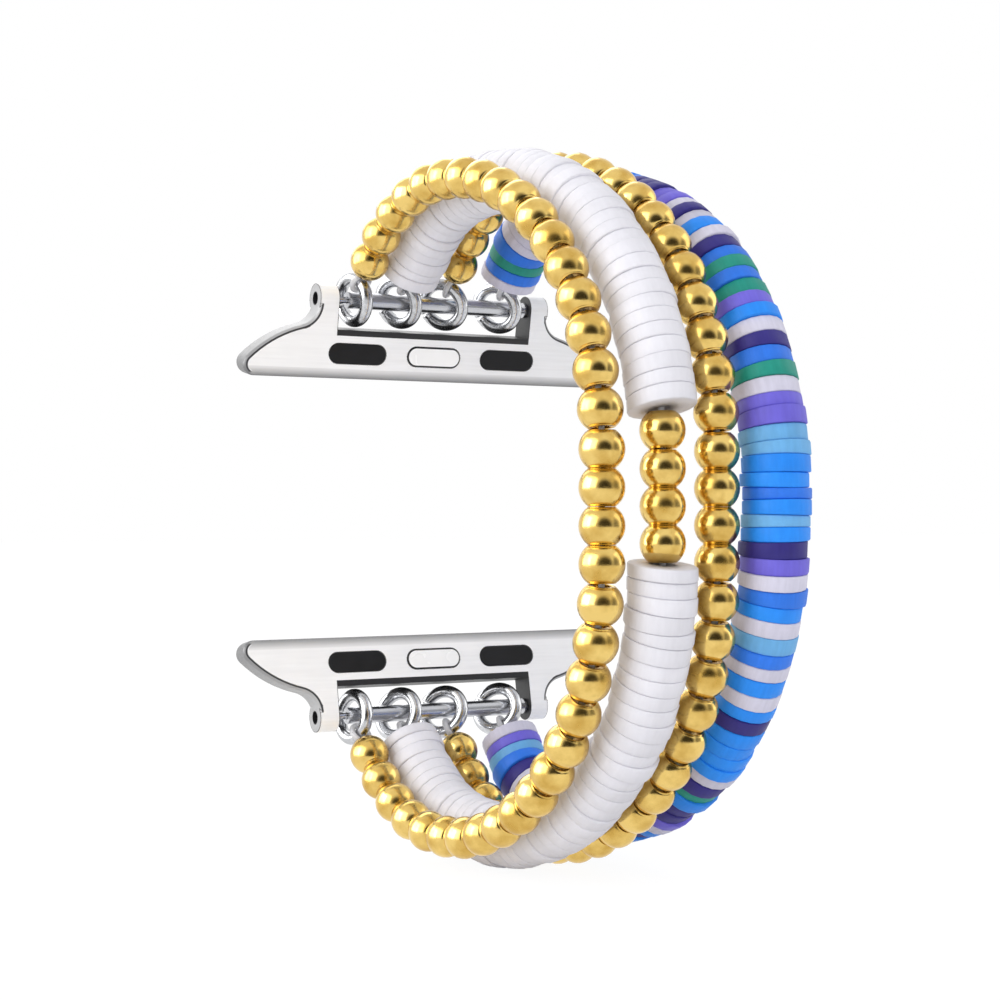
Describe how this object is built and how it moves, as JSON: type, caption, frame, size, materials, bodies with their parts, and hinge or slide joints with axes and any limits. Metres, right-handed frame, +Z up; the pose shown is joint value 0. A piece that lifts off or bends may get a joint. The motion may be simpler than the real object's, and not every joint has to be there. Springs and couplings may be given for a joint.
{
  "type": "bead watch band",
  "caption": "Elastic watch band: parallel strands of gold beads and flat clay discs, ringed to spring bars in two slide-in watch connectors.",
  "frame": {"origin": "centre of the bounding box of the standing loop", "axes": "+Z up across the loop from the lower to the upper connector, +Y towards the watch, +X along the spring bars"},
  "size_m": [0.032, 0.0388, 0.0524],
  "materials": {
    "satin_steel": "satin",
    "polished_steel": "polished",
    "spring_steel": "drawn wire and tube",
    "black_rubber": "matt",
    "clear_cord": "translucent elastic",
    "gold": "polished gold colour",
    "white_clay": "matt clay",
    "blue_clay": "matt clay",
    "bright_clay": "matt clay",
    "green_clay": "matt clay",
    "grey_clay": "matt clay",
    "navy_clay": "matt clay",
    "sky_clay": "matt clay",
    "violet_clay": "matt clay"
  },
  "bodies": {
    "strands": {"left_gold_beads": "gold", "inner_gold_beads": "gold", "white_upper_discs": "white_clay", "white_lower_discs": "white_clay", "coloured_blue_discs": "blue_clay", "coloured_bright_discs": "bright_clay", "coloured_green_discs": "green_clay", "coloured_grey_discs": "grey_clay", "coloured_navy_discs": "navy_clay", "coloured_sky_discs": "sky_clay", "coloured_violet_discs": "violet_clay", "left_gold_cord": "clear_cord", "white_cord": "clear_cord", "inner_gold_cord": "clear_cord", "coloured_cord": "clear_cord", "upper_left_gold_ring": "polished_steel", "upper_white_ring": "polished_steel", "upper_inner_gold_ring": "polished_steel", "upper_coloured_ring": "polished_steel", "lower_left_gold_ring": "polished_steel", "lower_white_ring": "polished_steel", "lower_inner_gold_ring": "polished_steel", "lower_coloured_ring": "polished_steel"},
    "middle_bead_1": {"middle_bead_1": "gold"},
    "middle_bead_2": {"middle_bead_2": "gold"},
    "middle_bead_3": {"middle_bead_3": "gold"},
    "middle_bead_4": {"middle_bead_4": "gold"},
    "upper_connector": {"upper_connector_frame": "satin_steel", "upper_left_pad": "black_rubber", "upper_right_pad": "black_rubber", "upper_button_cover": "satin_steel", "upper_button_spring": "spring_steel"},
    "upper_lock_button": {"upper_lock_button": "polished_steel"},
    "upper_spring_bar": {"upper_spring_bar_tube": "spring_steel", "upper_spring_bar_spring": "spring_steel"},
    "upper_left_tip": {"upper_spring_bar_left_tip": "spring_steel"},
    "upper_right_tip": {"upper_spring_bar_right_tip": "spring_steel"},
    "lower_connector": {"lower_connector_frame": "satin_steel", "lower_left_pad": "black_rubber", "lower_right_pad": "black_rubber", "lower_button_cover": "satin_steel", "lower_button_spring": "spring_steel"},
    "lower_lock_button": {"lower_lock_button": "polished_steel"},
    "lower_spring_bar": {"lower_spring_bar_tube": "spring_steel", "lower_spring_bar_spring": "spring_steel"},
    "lower_left_tip": {"lower_spring_bar_left_tip": "spring_steel"},
    "lower_right_tip": {"lower_spring_bar_right_tip": "spring_steel"}
  },
  "joints": [
    {"name": "middle_bead_1_spin", "type": "hinge", "parent": "strands", "child": "middle_bead_1", "pos_m": [-0.0001, -0.01641, 0.00482], "axis": [0.004, -0.0462, -0.9989], "continuous": true},
    {"name": "middle_bead_2_spin", "type": "hinge", "parent": "strands", "child": "middle_bead_2", "pos_m": [-0.0001, -0.01644, 0.00236], "axis": [0, 0, -1], "continuous": true},
    {"name": "middle_bead_3_spin", "type": "hinge", "parent": "strands", "child": "middle_bead_3", "pos_m": [-0.0001, -0.01644, -0.00006], "axis": [0, 0, -1], "continuous": true},
    {"name": "middle_bead_4_spin", "type": "hinge", "parent": "strands", "child": "middle_bead_4", "pos_m": [-0.0001, -0.01644, -0.00248], "axis": [0, 0, -1], "continuous": true},
    {"name": "upper_connector_swing", "type": "hinge", "parent": "strands", "child": "upper_connector", "pos_m": [0, 0.01726, 0.0163], "axis": [1, 0, 0], "range_deg": [-80, 130]},
    {"name": "upper_button_press", "type": "slide", "parent": "upper_connector", "child": "upper_lock_button", "axis": [0, 0.9816, 0.1908], "range_m": [0, 0.00045], "stiffness_N_per_m": 300, "springref_m": -0.0005, "deforming": ["upper_button_spring"]},
    {"name": "upper_spring_bar_spin", "type": "hinge", "parent": "upper_connector", "child": "upper_spring_bar", "pos_m": [0, 0.01726, 0.0163], "axis": [1, 0, 0], "continuous": true},
    {"name": "upper_left_tip_slide", "type": "slide", "parent": "upper_spring_bar", "child": "upper_left_tip", "axis": [1, 0, 0], "range_m": [0, 0.0008], "stiffness_N_per_m": 1500, "springref_m": -0.001, "deforming": ["upper_spring_bar_spring"]},
    {"name": "upper_right_tip_slide", "type": "slide", "parent": "upper_spring_bar", "child": "upper_right_tip", "axis": [-1, 0, 0], "range_m": [0, 0.0008], "stiffness_N_per_m": 1500, "springref_m": -0.001, "deforming": ["upper_spring_bar_spring"]},
    {"name": "lower_connector_swing", "type": "hinge", "parent": "strands", "child": "lower_connector", "pos_m": [0, 0.01726, -0.0163], "axis": [1, 0, 0], "range_deg": [-130, 80]},
    {"name": "lower_button_press", "type": "slide", "parent": "lower_connector", "child": "lower_lock_button", "axis": [0, 0.9816, -0.1908], "range_m": [0, 0.00045], "stiffness_N_per_m": 300, "springref_m": -0.0005, "deforming": ["lower_button_spring"]},
    {"name": "lower_spring_bar_spin", "type": "hinge", "parent": "lower_connector", "child": "lower_spring_bar", "pos_m": [0, 0.01726, -0.0163], "axis": [1, 0, 0], "continuous": true},
    {"name": "lower_left_tip_slide", "type": "slide", "parent": "lower_spring_bar", "child": "lower_left_tip", "axis": [1, 0, 0], "range_m": [0, 0.0008], "stiffness_N_per_m": 1500, "springref_m": -0.001, "deforming": ["lower_spring_bar_spring"]},
    {"name": "lower_right_tip_slide", "type": "slide", "parent": "lower_spring_bar", "child": "lower_right_tip", "axis": [-1, 0, 0], "range_m": [0, 0.0008], "stiffness_N_per_m": 1500, "springref_m": -0.001, "deforming": ["lower_spring_bar_spring"]}
  ]
}
